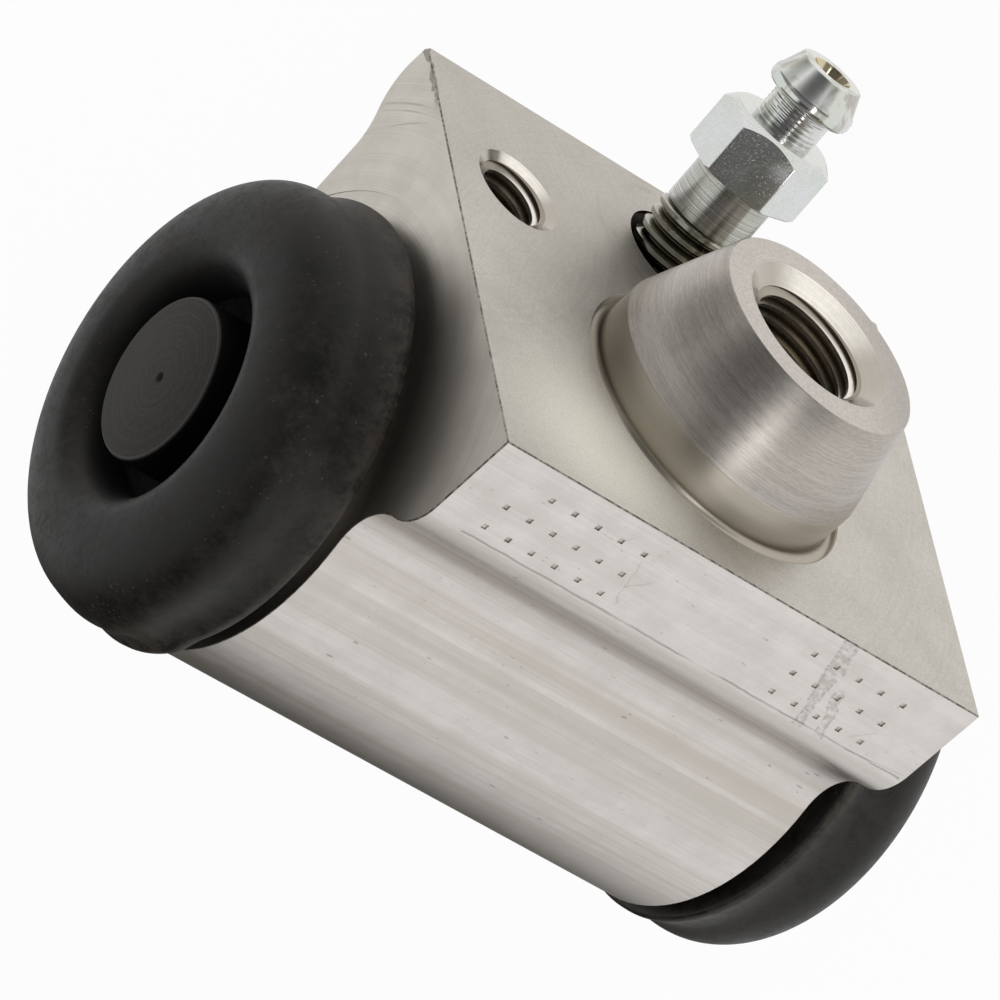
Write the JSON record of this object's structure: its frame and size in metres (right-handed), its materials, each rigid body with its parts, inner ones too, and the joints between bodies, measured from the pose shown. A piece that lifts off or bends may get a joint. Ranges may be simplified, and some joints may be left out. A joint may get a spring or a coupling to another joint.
{
  "type": "wheel cylinder",
  "caption": "Drum brake wheel cylinder: an extruded aluminium body with a tapped hose boss, opposed pistons under rubber boots, and a slanted bleed screw.",
  "frame": {"origin": "bottom of the cylinder, halfway along the bore and halfway across the mounting flange; the bore axis runs 17.2 mm above it, at Y -0.65 mm, and the mounting face lies at Z 38.85 mm", "axes": "+X along the bore, +Z out of the mounting face along the hose boss, +Y from the boss towards the bleed screw"},
  "size_m": [0.0644, 0.0412, 0.0565],
  "materials": {
    "body_aluminium": "satin, extruded and machined",
    "zinc_plate": "bright zinc plate with a faint yellow tint",
    "spring_steel": "drawn wire",
    "expander_steel": "pressed and plated",
    "piston_dark_anodised": "dark anodised, turned",
    "cup_rubber": "moulded, smooth",
    "boot_rubber": "moulded, matt"
  },
  "bodies": {
    "root": {"body": "body_aluminium", "spring": "spring_steel", "boot_left": "boot_rubber", "boot_right": "boot_rubber"},
    "left_piston": {"piston_left": "piston_dark_anodised", "cup_left": "cup_rubber", "expander_left": "expander_steel"},
    "right_piston": {"piston_right": "piston_dark_anodised", "cup_right": "cup_rubber", "expander_right": "expander_steel"},
    "bleeder": {"bleed_screw": "zinc_plate"}
  },
  "joints": [
    {"name": "left_piston_slide", "type": "slide", "parent": "root", "child": "left_piston", "axis": [-1, 0, 0], "range_m": [-0.003, 0.006], "deforming": ["boot_left", "spring"]},
    {"name": "right_piston_slide", "type": "slide", "parent": "root", "child": "right_piston", "axis": [1, 0, 0], "range_m": [-0.003, 0.006], "deforming": ["boot_right", "spring"]},
    {"name": "bleed_screw_turn", "type": "hinge", "parent": "root", "child": "bleeder", "pos_m": [0, 0.01315, 0.03885], "axis": [0, 0.1994, 0.9799], "range_deg": [0, 360]}
  ]
}
